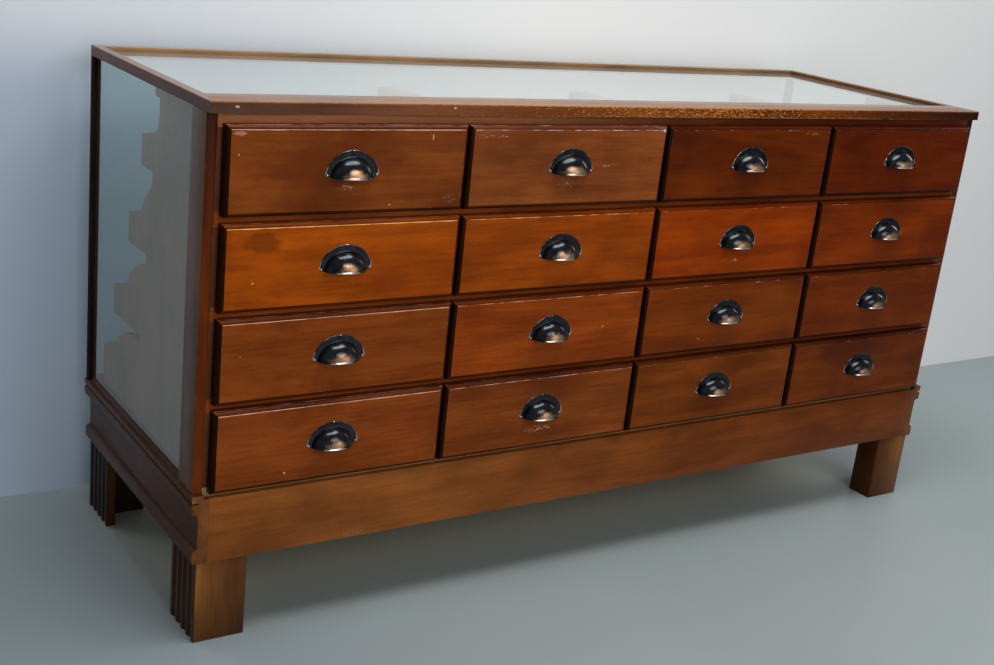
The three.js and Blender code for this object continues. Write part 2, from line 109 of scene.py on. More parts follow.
# %% A material made of signals
class Finish:
    """A material and the nodes that it is made of."""

    def __init__(self, name):
        self.material = bpy.data.materials.new(name)
        self.material.use_nodes = True
        self.tree = self.material.node_tree
        self.tree.nodes.clear()
        self.made = {}

    def feed(self, socket, value):
        if isinstance(value, Signal):
            self.tree.links.new(value.socket, socket)
        elif hasattr(socket.default_value, "__len__") and len(socket.default_value) == 4:
            socket.default_value = (*value[:3], value[3] if len(value) > 3 else 1.0)
        else:
            socket.default_value = value

    def node(self, kind, settings=None, inputs=None, out=0):
        """Any node: its settings first, then the values or links of its sockets."""
        made = self.tree.nodes.new(kind)
        for key, value in (settings or {}).items():
            setattr(made, key, value)
        for key, value in (inputs or {}).items():
            self.feed(made.inputs[key], value)
        return Signal(self, made.outputs[out])

    def note(self, name, out=2):
        """A note left on the mesh: output 1 is a vector and output 2 a number."""
        if name not in self.made:
            self.made[name] = self.node("ShaderNodeAttribute", {"attribute_name": name}, out=out)
        return self.made[name]

    def vector(self, operation, a, b):
        return self.node("ShaderNodeVectorMath", {"operation": operation}, {0: a, 1: b})

    def stretched(self, place, stretch):
        return self.vector("MULTIPLY", place, stretch)

    def noise(self, place, stretch, detail=2.0, rough=0.5, twist=0.0):
        inputs = {"Vector": self.stretched(place, stretch), "Scale": 1.0, "Detail": detail,
                  "Roughness": rough, "Distortion": twist}
        return self.node("ShaderNodeTexNoise", {}, inputs)

    def part(self, vector, axis):
        return self.node("ShaderNodeSeparateXYZ", {}, {0: vector}, axis)

    def geometry(self, out):
        return self.node("ShaderNodeNewGeometry", out=out)

    def mix(self, factor, a, b):
        settings = {"data_type": "RGBA", "clamp_factor": True}
        return self.node("ShaderNodeMix", settings, {0: factor, 6: a, 7: b}, out=2)

    def dimmed(self, colour, amount):
        """A colour times a number."""
        return self.node("ShaderNodeVectorMath", {"operation": "SCALE"}, {0: colour, "Scale": amount})

    def relief(self, height, distance, strength=1.0):
        inputs = {"Height": height, "Distance": distance, "Strength": strength}
        return self.node("ShaderNodeBump", {}, inputs)

    def surface(self, shader):
        output = self.tree.nodes.new("ShaderNodeOutputMaterial")
        self.tree.links.new(shader.socket, output.inputs["Surface"])
        return self.material

    def principled(self, **sockets):
        inputs = {name.replace("_", " "): value for name, value in sockets.items()}
        return self.node("ShaderNodeBsdfPrincipled", {}, inputs)


print("shader helpers ready")

# %% [markdown]
# ## Notes on the mesh
#
# Real timber has a direction: along the grain it is streaked, across the grain it is banded. So every
# corner of every face carries a note called `grain`, the place in metres measured along, across and
# through the board that the face belongs to. Each piece adds an offset of its own, so that no two boards
# share a figure. Two more notes go with it. `wear` is 1 on an arris that hands and dusters have rubbed,
# and `tone` is a colour that darkens, lightens or reddens a board or a single face. On many pieces `tone`
# also carries painted light and shade, and on the top edges of the drawer fronts `wear` also carries a
# painted highlight. Notes travel with the mesh, so a drawer keeps its figure when it slides open.

# %% Keep the three notes while a piece is being made
def cut_offset(name):
    """Where in the imaginary log this piece was sawn."""
    chance = random.Random(name)
    return Vector((chance.uniform(0, 40), chance.uniform(0, 40), chance.uniform(0, 40)))


ALONG = {"x": (0, 2, 1), "y": (1, 2, 0), "z": (2, 0, 1), "flat_x": (0, 1, 2), "flat_y": (1, 0, 2)}


def leave_note(mesh, key, values, domain="CORNER"):
    """Store one number or one vector for every corner, or for every point."""
    vector = hasattr(values[0], "__len__")
    note = mesh.attributes.new(key, "FLOAT_VECTOR" if vector else "FLOAT", domain)
    flat = [part for value in values for part in value] if vector else values
    note.data.foreach_set("vector" if vector else "value", flat)


def as_colour(tone):
    return tone if hasattr(tone, "__len__") else (tone, tone, tone)


def share_of(value, start, length):
    """How much of the way from start the value has come, from 0 to 1."""
    return min(1, max(0, (value - start) / length))


def times(colour, shares):
    return [part * share for part, share in zip(colour, shares)]


def between(before, after, share):
    return [a + (b - a) * share for a, b in zip(before, after)]


def new_mesh(name, points, faces):
    mesh = bpy.data.meshes.new(name)
    mesh.from_pydata(points, [], faces)
    return mesh


def write_notes(mesh, name, grain_of, wear_of, tone_of):
    """grain_of gives a face's board direction; wear_of gives a number for a face corner, and tone_of a
    number or a colour."""
    offset = cut_offset(name)
    grain, wear, tone = [], [], []
    for face in mesh.polygons:
        order = ALONG[grain_of(face)]
        for corner in face.loop_indices:
            place = mesh.vertices[mesh.loops[corner].vertex_index].co
            grain.append([place[axis] + start for axis, start in zip(order, offset)])
            wear.append(wear_of(face, corner))
            tone.append(as_colour(tone_of(face, corner)))
    leave_note(mesh, "grain", grain)
    leave_note(mesh, "wear", wear)
    leave_note(mesh, "tone", tone)


def settle(mesh, name, body, finish, nodes, sharp=50):
    """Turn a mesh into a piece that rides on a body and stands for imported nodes."""
    mesh.materials.clear()
    mesh.materials.append(finish)
    mesh.shade_smooth()
    mesh.set_sharp_from_angle(angle=math.radians(sharp))
    piece = bpy.data.objects.new(name, mesh)
    bpy.context.scene.collection.objects.link(piece)
    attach(piece, body)
    if nodes:
        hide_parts(*nodes)
    return piece


print("directions of the grain:", ", ".join(ALONG))

# %% [markdown]
# ## Mahogany
#
# Old polished mahogany is red-brown with long soft streaks, a slow mottle where the stain took unevenly,
# and short dark pores that run with the grain. Where the polish is rubbed through, the wood shows pale
# and dry. Noise is stretched along the `grain` note, so one finish serves every board at the right scale.

# %% One recipe for all the woods
DUST, PALE_SPOT = (0.27, 0.245, 0.23), (0.5, 0.42, 0.36)


def wood(name, deep, warm, stain, bare, shine=0.36, pores=0.35, gloss=0.25, tint=(1.0, 0.62, 0.38), marks=(),
         rubbing=(38, 60, 60), scatter=1.5, follow=0.0, side_coat=0.0):
    """deep and warm are the dark and light of the figure, stain its mottle, bare the rubbed wood. rubbing is
    how fine the rubbing is, scatter how uneven, follow how much of a board's tone its rubbed wood shares, and
    side_coat the clear polish on faces that look to the left and right."""
    finish = Finish(name)
    grain, wear, tone = finish.note("grain", 1), finish.note("wear"), finish.note("tone", 1)
    figure = finish.noise(grain, (2.2, 16, 16), detail=3, twist=0.9)
    fine = finish.noise(grain, (9, 150, 150), detail=3, rough=0.6)
    mottle = finish.noise(grain, (5, 9, 9), detail=4, rough=0.6)
    rub = finish.noise(grain, rubbing, detail=3, rough=0.6)
    pore = finish.noise(grain, (110, 1100, 1100), detail=1)

    light = (figure * 0.6 + fine * 0.4).step(0.3, 0.7)
    colour = finish.mix(light, deep, warm)
    patch = finish.noise(grain, (7, 11, 11), detail=2, rough=0.5)
    colour = finish.mix(mottle.step(0.48, 0.7) * 0.75, colour, stain)
    colour = finish.dimmed(colour, 0.86 + patch.step(0.35, 0.65) * 0.26)
    pits = pore.step(0.6, 0.72)
    colour = finish.mix(pits * pores, colour, [part * 0.45 for part in deep])
    colour = finish.vector("MULTIPLY", colour, tone)
    colour = finish.mix(finish.note("dust") * (0.75 + (mottle - 0.5) * 0.6), colour, DUST)

    sparse = finish.stretched(grain, (20, 26, 26))
    nicks = finish.node("ShaderNodeTexVoronoi", {}, {"Vector": sparse, "Scale": 1.0})
    nick = (1 - nicks.step(0.035, 0.05)) * rub.step(0.6, 0.62)
    worn = (wear * 1.15 + (rub - 0.5) * scatter).step(0.55, 0.95).larger(nick * 0.7)
    crumb = finish.noise(grain, (260, 420, 420), detail=2, rough=0.6) if marks else None
    for mark_name, u, v, wide, high, strength, kind in marks:
        centre = cut_offset(mark_name) + Vector((u, v, 0))
        away = finish.vector("SUBTRACT", grain, centre)
        away = finish.stretched(away, (1 / wide, 1 / high, 0))
        spread = finish.node("ShaderNodeVectorMath", {"operation": "LENGTH"}, {0: away}, out=1)
        if kind in ("dark", "pale"):
            ragged = spread + (mottle - 0.5) * 0.8 + (rub - 0.5) * 1.2
            blot = (1 - ragged.step(0.7, 1.15)) * strength
            spot = [part * 0.55 for part in deep] if kind == "dark" else PALE_SPOT
            colour = finish.mix(blot, colour, spot)
        elif kind == "chip":
            ragged = spread + (crumb - 0.5) * 1.4 + (rub - 0.5) * 1.0
            worn = worn.larger((1 - ragged.step(0.75, 0.95)) * strength)
        else:
            worn = worn.larger((1 - spread.step(0.4, 1.1)) * crumb.step(0.56, 0.62) * strength)
    if follow:
        bare = finish.mix(follow, bare, finish.vector("MULTIPLY", tone, bare))
    colour = finish.mix(worn, colour, bare)

    height = rub * 0.25 + fine * 0.12 - pits * 0.4 - worn * 0.5
    coat = 0.0
    if side_coat:
        sideways = finish.part(finish.geometry("Normal"), 0) ** 2
        coat = sideways.step(0.4, 0.6) * side_coat
    shader = finish.principled(
        Base_Color=colour,
        Roughness=shine + (rub - 0.5) * 0.2 + worn * 0.3 + pits * 0.1,
        Coat_Weight=coat,
        Coat_Roughness=0.35,
        Normal=finish.relief(height, 0.2 * mm, 0.4),
        Specular_IOR_Level=gloss,
        Specular_Tint=tint,
    )
    return finish.surface(shader)


# %% Blemishes that the real cabinet has
FRONT_MARKS = [  # row, column, mm from the front's lower left corner, mm wide and high, strength, kind
    ("top", 1, 22, 133, 12, 3.5, 0.4, "chip"), ("top", 1, 20, 100, 2.0, 1.8, 0.8, "chip"),
    ("top", 1, 210, 46, 24, 7, 0.8, "scratch"), ("top", 1, 290, 14, 2.2, 1.6, 0.8, "chip"),
    ("top", 1, 363, 128, 1.5, 7, 0.6, "chip"), ("top", 1, 405, 22, 14, 10, 0.5, "scratch"),
    ("top", 2, 40, 128, 42, 3, 0.7, "scratch"), ("top", 2, 212, 42, 22, 6, 0.6, "scratch"),
    ("top", 2, 300, 74, 18, 4, 0.6, "scratch"), ("top", 2, 412, 140, 26, 5, 0.9, "scratch"),
    ("top", 2, 425, 138, 5, 2.6, 1.0, "chip"), ("top", 3, 375, 132, 28, 3.5, 0.8, "scratch"),
    ("upper", 1, 66, 116, 36, 19, 0.6, "dark"), ("upper", 3, 210, 34, 26, 6, 0.6, "scratch"),
    ("bottom", 2, 215, 36, 36, 8, 0.8, "scratch"), ("bottom", 1, 130, 22, 2.4, 2.2, 0.8, "chip"),
]


def on_front(row, column, across, up, wide, high, strength, kind):
    """The same mark by the name of its piece and in metres."""
    low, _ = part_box(f"drawer_{row}_{column}")
    return (f"drawer_{row}_{column}_front", low.x + across * mm, low.z + up * mm, wide * mm, high * mm,
            strength, kind)


front_marks = [on_front(*mark) for mark in FRONT_MARKS]
edge_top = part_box("top_frame")[1].z
edge_marks = [("top_rail_front_outer", x, edge_top - down * mm, wide * mm, 2.2 * mm, 0.9, "pale")
              for x, down, wide in ((-0.856, 8, 4), (-0.468, 6, 2.5))]
plinth_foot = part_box("plinth_front")[0].z
plinth_marks = [("plinth_front_wood", -0.6, plinth_foot + 7 * mm, 30 * mm, 7 * mm, 0.7, "scratch")]
print(len(front_marks), "marks on the drawer fronts and", len(edge_marks), "on the front edge")

# %% Mix the stains
drawer_polish = wood("drawer mahogany", (0.16, 0.03, 0.002), (0.29, 0.064, 0.005), (0.13, 0.021, 0.0015),
                     (0.68, 0.38, 0.19), shine=0.3, gloss=0.16, marks=front_marks, follow=0.5)
CASE_STAIN = (0.12, 0.034, 0.006), (0.2, 0.062, 0.012), (0.105, 0.029, 0.006)
case_polish = wood("case mahogany", *CASE_STAIN, (0.46, 0.27, 0.14), shine=0.32, gloss=0.22,
                   marks=plinth_marks)
edge_polish = wood("top frame mahogany", *CASE_STAIN, (0.44, 0.165, 0.035), shine=0.32, gloss=0.22,
                   marks=edge_marks, rubbing=(150, 320, 320), scatter=2.6)
# Painted shade: a darker copy of the case mahogany, for the sills and the plinth sides along the shaded sides
# and rear.
shaded_polish = wood("shaded mahogany", (0.045, 0.018, 0.011), (0.07, 0.03, 0.019), (0.04, 0.017, 0.011),
                   (0.34, 0.19, 0.10), shine=0.4, gloss=0.25)
post_polish = wood("post mahogany", (0.075, 0.016, 0.003), (0.14, 0.034, 0.008), (0.085, 0.018, 0.004),
                   (0.34, 0.17, 0.08), shine=0.32, gloss=0.14, tint=(1.0, 0.8, 0.6), side_coat=0.25)
# Painted shade: a near-black matt copy of the mahogany for the rear posts, which stand in shade.
shaded_matt_wood = wood("matt post in shade", (0.012, 0.006, 0.004), (0.02, 0.011, 0.008), (0.01, 0.005, 0.004),
                 (0.10, 0.05, 0.03), shine=0.7, gloss=0.05)
panel_stain = wood("panel stain", (0.2, 0.083, 0.036), (0.27, 0.118, 0.05), (0.23, 0.10, 0.045),
                   (0.30, 0.22, 0.15), shine=0.6, pores=0.3)
box_wood = wood("drawer box wood", (0.13, 0.055, 0.022), (0.24, 0.115, 0.05), (0.16, 0.075, 0.032),
                (0.38, 0.24, 0.14), shine=0.55)
floor_board = wood("case floor wood", (0.10, 0.05, 0.022), (0.19, 0.10, 0.045), (0.13, 0.07, 0.034),
                   (0.36, 0.25, 0.15), shine=0.6)
print("woods:", ", ".join(m.name for m in bpy.data.materials if m.use_nodes))

# %% [markdown]
# ## The plain boards of the case
#
# Posts, rails, plinth boards, legs, sills, partitions and end panels were sawn, planed and moulded, and
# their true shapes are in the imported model. What a solid made of flat facets lacks is the softened arris
# that catches the light. So each is copied, its flat faces are joined up again, and every edge sharper
# than a moulding's curve gets a narrow rounded bevel. The new faces of the bevel are where `wear` is 1.

# %% Soften a copy of a packed board
WELD, FLAT, SHARP = 0.02 * mm, math.radians(1), math.radians(30)


def cut(work, place, normal, **clear):
    """Cut everything in a mesh along a plane."""
    geometry = list(work.verts) + list(work.edges) + list(work.faces)
    bmesh.ops.bisect_plane(work, geom=geometry, dist=1e-6, plane_co=place, plane_no=normal, **clear)


def softened(node, width, name, keep=None, stations=()):
    """A copy of a node's mesh with its facets joined and its arrises rounded. Stations are places along X
    where a long board gets a line of points, so that its tone can change on the way."""
    mesh = frame["nodes"][node].data.copy()
    mesh.name = name
    work = bmesh.new()
    work.from_mesh(mesh)
    bmesh.ops.remove_doubles(work, verts=work.verts, dist=WELD)
    if keep:
        keep(work)
    bmesh.ops.dissolve_limit(work, angle_limit=FLAT, verts=work.verts, edges=work.edges)
    worn = work.faces.layers.int.new("worn")
    arrises = [edge for edge in work.edges
               if len(edge.link_faces) == 2 and edge.calc_face_angle(0) > SHARP
               and edge.calc_length() > 3 * width]
    made = bmesh.ops.bevel(work, geom=arrises, offset=width, segments=2, profile=0.5,
                           affect="EDGES", clamp_overlap=True)
    for face in made["faces"]:
        face[worn] = 1
    for x in stations:
        cut(work, (x, 0, 0), (1, 0, 0))
    bmesh.ops.triangulate(work, faces=[face for face in work.faces if len(face.verts) > 4])
    work.to_mesh(mesh)
    work.free()
    return mesh


def board(node, finish, grain, width, wear, tone=1.0, keep=None, stations=(), body="case",
          suffix="wood"):
    """Replace a packed board by its softened copy. tone may be a function of a face's normal and a place."""
    name = f"{node}_{suffix}"
    mesh = softened(node, width, name, keep, stations)
    worn = [bool(item.value) for item in mesh.attributes["worn"].data]
    grain_of = grain if callable(grain) else lambda face: grain
    tone_of = tone if callable(tone) else lambda normal, place: tone
    write_notes(mesh, name, grain_of,
                lambda face, corner: wear if worn[face.index] else 0.0,
                lambda face, corner: tone_of(face.normal, mesh.vertices[mesh.loops[corner].vertex_index].co))
    return settle(mesh, name, body, finish, [node])


# %% Posts and rails
along_front = [(-0.85 + 0.1 * step) for step in range(18)]
FADE_START, FADE_LENGTH, POST_MIDDLE = -0.55, 0.75, 0.7


def from_left_to_right(left_tone, right_tone):
    """The tone falls from left to right along the counter: painted light at the left and painted shade at the
    right, where the light fell off.
    """
    def tone(normal, place):
        return between(left_tone, right_tone, share_of(place.x, FADE_START, FADE_LENGTH))
    return tone


def post_tone(normal, place):
    """The front of a post is redder than its side, whose greyer tone is a painted sheen. Both are darkest at
    the top, a painted shade under the top frame.
    """
    if abs(normal.x) > 0.6:
        return (0.74, 1.65, 3.9) if place.z > POST_MIDDLE else (1.2, 2.1, 4.2)
    return (0.22, 0.06, 0.02) if place.z > POST_MIDDLE else (2.0, 1.65, 0.95)


for side in ("left", "right"):
    board(f"front_post_{side}", post_polish, "z", 1.0 * mm, wear=0.4, tone=post_tone)
    board(f"rear_post_{side}", shaded_matt_wood, "z", 1.0 * mm, wear=0.4)
# Painted light: the top rail, under the frame's overhang, is painted lit and greyed by a painted sheen at its
# left and shaded at its right. The rails between the rows are painted lighter than their recesses let them
# be.
TOP_RAIL_TONES, RAIL_TONES = ((1.8, 2.2, 4.6), (0.5, 0.25, 0.15)), ((1.4, 1.0, 0.8), (0.9, 0.6, 0.4))
for row in ("top", "upper", "lower", "bottom"):
    board(f"rail_{row}", case_polish, "x", 0.6 * mm, wear=0.4, stations=along_front,
          tone=from_left_to_right(*(TOP_RAIL_TONES if row == "top" else RAIL_TONES)))
print("posts and rails:", len([o for o in bpy.data.objects if "post" in o.name or "rail" in o.name]))

# %% Stepped panels and partitions behind the drawers
def panel_grain(face):
    """Runners are strips that run front to back; the boards behind them stand upright."""
    return "y" if abs(face.normal.z) > 0.5 else "z"


for side in ("left", "right"):
    board(f"end_panel_{side}", panel_stain, panel_grain, 0.5 * mm, wear=0.4,
          tone=lambda normal, place: (0.42, 0.31, 0.34) if normal.y < -0.5 else 1.0)
# Painted shade: the partitions' front edges, in the narrow gaps between the drawer fronts, and their faces
# inside the case are darkened.
for side in ("left", "middle", "right"):
    board(f"partition_{side}", panel_stain, panel_grain, 0.5 * mm, wear=0.4,
          tone=lambda normal, place: 0.3 if normal.y < -0.5 else 0.8)
# Painted light: the front edge of the case floor, below the bottom drawers, is painted lighter where the
# drawer fronts shade it.
board("case_floor", floor_board, "x", 0.5 * mm, wear=0.4,
      tone=lambda normal, place: 2.2 if normal.y < -0.5 else 1.0)
print("panels, partitions and floor dressed")

# %% Sill, plinth and legs
SIDE_SILLS, FLUTED_SIDE, FLUTED_EDGE, FOOT_BAND = 0.868, 0.86, 0.8725, 0.012  # metres from the middle, or up


def sill_grain(face):
    """The side sills run front to back and the rear sill runs across."""
    return "y" if abs(face.center.x) > SIDE_SILLS else "x"


def end_grain(normal, place):
    """The ends of the plinth sides show in front and look towards the light, so there the shaded mahogany is
    toned back to the plinth's red.
    """
    return (2.6, 2.1, 1.0) if abs(normal.y) > 0.9 else 1.0


def leg_tone(normal, place):
    """The fluted sides, turned away from the light, are darkened as painted shade, and so are the rear legs,
    which stand in the dark. The feet are darker in their lowest 12 mm. The edge of the fluted board is paler
    than the block beside it."""
    behind = 0.26 if place.y > 0 else 1.0
    if abs(normal.x) > 0.15 and abs(place.x) > FLUTED_SIDE:
        return 0.19 * behind
    foot = 0.6 if place.z < FOOT_BAND else 1.0
    edge, block = (1.28, 1.6, 2.2), (0.54, 0.65, 1.1) if place.x < 0 else (0.54, 0.52, 0.8)
    return [part * behind * foot for part in (edge if abs(place.x) > FLUTED_EDGE else block)]


# The sill's front ends look towards the light and are toned back to the case's red; its other faces get a
# little more painted shade.
board("sill_frame", shaded_polish, sill_grain, 0.7 * mm, wear=0.3,
      tone=lambda normal, place: (2.4, 1.9, 1.0) if normal.y < -0.9 else 0.8)
for side in ("left", "right"):
    board(f"plinth_side_{side}", shaded_polish, "y", 0.8 * mm, 0.45, tone=end_grain)
    for end in ("front", "rear"):
        board(f"{end}_leg_{side}", case_polish, "z", 1.2 * mm, wear=0.3, tone=leg_tone)
# The plinth fronts share the painted fall of light along the counter, lighter and greyer at the left.
for end in ("front", "rear"):
    board(f"plinth_{end}", case_polish, "x", 1.0 * mm, wear=0.4,
          tone=from_left_to_right((1.5, 1.5, 1.4), (0.95, 0.7, 0.38)), stations=along_front)
print("sill, plinth and legs dressed")

# %% [markdown]
# ## The top frame
#
# Four rails lie on the case, mitred where they meet, with the glass let in below their top. The front
# rail is made of two strips. It is nearly four times as wide as the others, so its mitre isn't at 45
# degrees. One board with a hole would show the grain running the wrong way on two sides. So each rail is
# made by itself: its section is drawn once, and both ends of it are slid along to meet the mitre.

# %% Draw the section of a rail
frame_box_low, frame_box_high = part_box("top_frame")
SIDE_TOP, FRONT_TOP, LEDGE = 19 * mm, 72 * mm, 8 * mm
left, right = frame_box_low.x, frame_box_high.x
front, rear = frame_box_low.y, frame_box_high.y
thick = frame_box_high.z - frame_box_low.z
ledge_top = thick - 14 * mm
seam = 40 * mm


def rail_section(outer, inner, ledge, soft=1.1 * mm):
    """Points (inset, height above the underside, wear, shade) round a rail, from its lower outer edge."""
    points = [(outer + 0.5 * mm, 0.0, 0.3, 0.6), (outer, 0.5 * mm, 0.8, 1.0), (outer, 1.6 * mm, 0.0, 1.0)]
    points += [(outer, thick - 3 * mm, 0.0, 1.0)]
    for step in range(4):
        turn = step / 3 * math.pi / 2
        points.append((outer + soft * (1 - math.cos(turn)), thick - soft * (1 - math.sin(turn)), 0.8, 1.0))
    points += [(outer + 4 * mm, thick, 0.0, 1.0), (inner - 3 * mm, thick, 0.0, 1.0)]
    for step in range(3):
        turn = step / 2 * math.pi / 2
        points.append((inner - soft * (1 - math.sin(turn)), thick - soft * (1 - math.cos(turn)), 0.6, 0.8))
    if ledge:
        points += [(inner, ledge_top + 6 * mm, 0.0, 0.6), (inner, ledge_top, 0.0, 0.25),
                   (inner + ledge, ledge_top, 0.0, 0.25), (inner + ledge, 0.0, 0.0, 0.25)]
    else:
        points += [(inner, 0.0, 0.0, 0.3)]
    return points


# %% Run the section from mitre to mitre
RUBBED_AT, RUBBED_REACH = 0.12, 0.5  # where the keeper leaned on the front edge


def mitred_rail(name, section, ends, grain, tone_at, dust, rubbed=0.0, stations=26):
    """ends gives the two corners' places for a point of the section. tone_at and rubbed belong to the
    outer face and the arrises, and depend on the place along the rail."""
    points, wears, tones, dusts = [], [], [], []
    for inset, height, wear, shade in section:
        start, stop = ends(inset)
        for step in range(stations + 1):
            share = step / stations
            x, y = between(start, stop, share)
            face_rub = math.exp(-((x - RUBBED_AT) / RUBBED_REACH) ** 2)
            outside = height < thick - 2 * mm and shade == 1.0
            points.append((x, y, frame_box_low.z + height))
            rub = rubbed * face_rub if outside else 0.0
            wears.append(min(1.0, wear * (0.5 + 0.5 * face_rub) + rub) if rubbed else wear * 0.5)
            tones.append([shade * part for part in as_colour(tone_at(x, outside))])
            lying = dust(x) if callable(dust) else dust
            dusts.append(lying if height >= thick - 0.01 * mm else 0.0)
    ring, count = stations + 1, len(section)
    faces = []
    for i in range(count):
        for step in range(stations):
            a, b = i * ring + step, (i + 1) % count * ring + step
            faces.append((a, a + 1, b + 1, b))
    faces += [tuple(i * ring for i in range(count))[::-1], tuple(i * ring + stations for i in range(count))]
    mesh = new_mesh(name, points, faces)
    repair = bmesh.new()
    repair.from_mesh(mesh)
    bmesh.ops.recalc_face_normals(repair, faces=repair.faces)
    repair.to_mesh(mesh)
    repair.free()
    write_notes(mesh, name, lambda face: grain,
                lambda face, corner: wears[mesh.loops[corner].vertex_index],
                lambda face, corner: tones[mesh.loops[corner].vertex_index])
    leave_note(mesh, "dust", dusts, "POINT")
    return settle(mesh, name, "case", edge_polish, ["top_frame"], sharp=40)


# %% Where the rails meet
def side_to_front(inset):
    """On the mitre, how far from the front a line of the side rail ends."""
    return inset * FRONT_TOP / SIDE_TOP if inset <= SIDE_TOP else FRONT_TOP + inset - SIDE_TOP


def front_to_side(inset):
    return inset * SIDE_TOP / FRONT_TOP if inset <= FRONT_TOP else SIDE_TOP + inset - FRONT_TOP


def across_front(inset):
    return (left + front_to_side(inset), front + inset), (right - front_to_side(inset), front + inset)


def across_rear(inset):
    return (left + inset, rear - inset), (right - inset, rear - inset)


def down_left(inset):
    return (left + inset, front + side_to_front(inset)), (left + inset, rear - inset)


def down_right(inset):
    return (right - inset, front + side_to_front(inset)), (right - inset, rear - inset)


# %% The five strips of the frame
EDGE_TONES = [  # place along the front edge, and its tone
    (-0.90, (0.42, 0.69, 2.6)), (-0.70, (0.57, 0.67, 1.8)), (-0.50, (1.05, 1.15, 2.6)),
    (-0.30, (0.75, 0.6, 0.6)), (0.0, (1.2, 1.0, 0.8)), (0.15, (0.85, 0.65, 0.2)),
    (0.45, (0.8, 0.55, 0.2)), (0.60, (0.5, 0.32, 0.2)), (0.90, (0.1, 0.06, 0.1)),
]


def front_edge_tone(x, outside):
    """The front edge is purple-brown at the left, golden where it was leaned on and dark at the right, a
    painted shade where the light fell off along the counter. Its top is painted a little darker to the right
    too.
    """
    if not outside:
        return [(1.5 - 0.35 * max(0.0, x)) * part for part in (0.85, 1.1, 1.5)]
    for (start, before), (end, after) in zip(EDGE_TONES, EDGE_TONES[1:]):
        if x <= end:
            break
    return between(before, after, share_of(x, start, end - start))


def plain_tone(top, side):
    return lambda x, outside: side if outside else top


def inner_dust(x):
    """Dust lies thickest on the right part of the front rail, where no one leaned."""
    return 0.5 + 0.4 * share_of(x, 0.3, 0.15) - 0.5 * share_of(x, 0.78, 0.06)


side_section = rail_section(0, SIDE_TOP, LEDGE)
mitred_rail("top_rail_front_outer", rail_section(0, seam, 0), across_front, "x", front_edge_tone, 0.1, 0.55)
mitred_rail("top_rail_front_inner", rail_section(seam, FRONT_TOP, LEDGE, 0.5 * mm), across_front, "flat_x",
            plain_tone((1.2, 1.45, 1.9), 1.3), inner_dust)
mitred_rail("top_rail_rear", side_section, across_rear, "flat_x", plain_tone((1.75, 3.35, 8.0), 0.5), 0.5)
mitred_rail("top_rail_left", side_section, down_left, "flat_y", plain_tone(0.9, 0.6), 0.6)
mitred_rail("top_rail_right", side_section, down_right, "flat_y", plain_tone((0.9, 1.2, 1.8), 0.5), 0.3)
print("top frame in five strips, section of", len(side_section), "points")

# %% [markdown]
# ## Drawer fronts
#
# A drawer front is a thick board that laps over its opening. Its edge is an ovolo, a quarter round, with
# a small fillet before the flat field. It shows as two pale lines along every top edge, where the round
# and the fillet have been dusted for a century; the lines are partly a painted highlight, palest on the
# left drawers. The front is lofted: each ring of four corners stands further in and further out, so the
# mouldings meet in true mitres. The left edge, turned away from the light, is painted almost black as
# shade, the lower edge is darkened as painted shade too, and the others are dark.

# %% The moulded edge as rings
FRONT_THICK = 20 * mm


def ovolo_rings(back, lap=1.5 * mm, radius=6 * mm):
    """(inset, y, wear) from the back of the front out to its field."""
    shoulder = FRONT_THICK - lap - radius
    rings = [(0.0, 0.0, 0.35), (0.0, 0.6 * mm, 0.15), (0.0, shoulder - 1 * mm, 0.1)]
    for step in range(9):
        turn = step / 8 * math.pi / 2
        depth = shoulder + radius * math.sin(turn)
        wear = 0.75 if step < 2 else 0.12
        rings.append((radius * (1 - math.cos(turn)), depth, wear))
    rings += [
        (radius + 0.25 * mm, FRONT_THICK - lap, 0.1),
        (radius + 0.45 * mm, FRONT_THICK - 0.5 * mm, 0.6),
        (radius + 0.6 * mm, FRONT_THICK - 0.15 * mm, 1.0),
        (radius + 0.95 * mm, FRONT_THICK, 1.0),
        (radius + 2.6 * mm, FRONT_THICK, 0.15),
        (radius + 9 * mm, FRONT_THICK, 0.0),
    ]
    return [(inset, back - depth, wear) for inset, depth, wear in rings]


# %% Loft a front from its rings
SIDE_WEAR = {"bottom": 0.4, "right": 0.5, "top": 1.0, "left": 0.35}
# Painted shade on the moulded edges: nearly black on the left edge, which looks away from the light, and dark
# on the lower edge; the top and right edges are darkened less.
EDGE_SHADE_TONE = {"bottom": (0.2, 0.15, 0.2), "right": (0.4, 0.35, 0.4), "top": (0.5, 0.45, 0.9),
             "left": (0.06, 0.06, 0.06)}
FIELD_RINGS = 4  # the last rings are the fillet and the field, which take the full tone


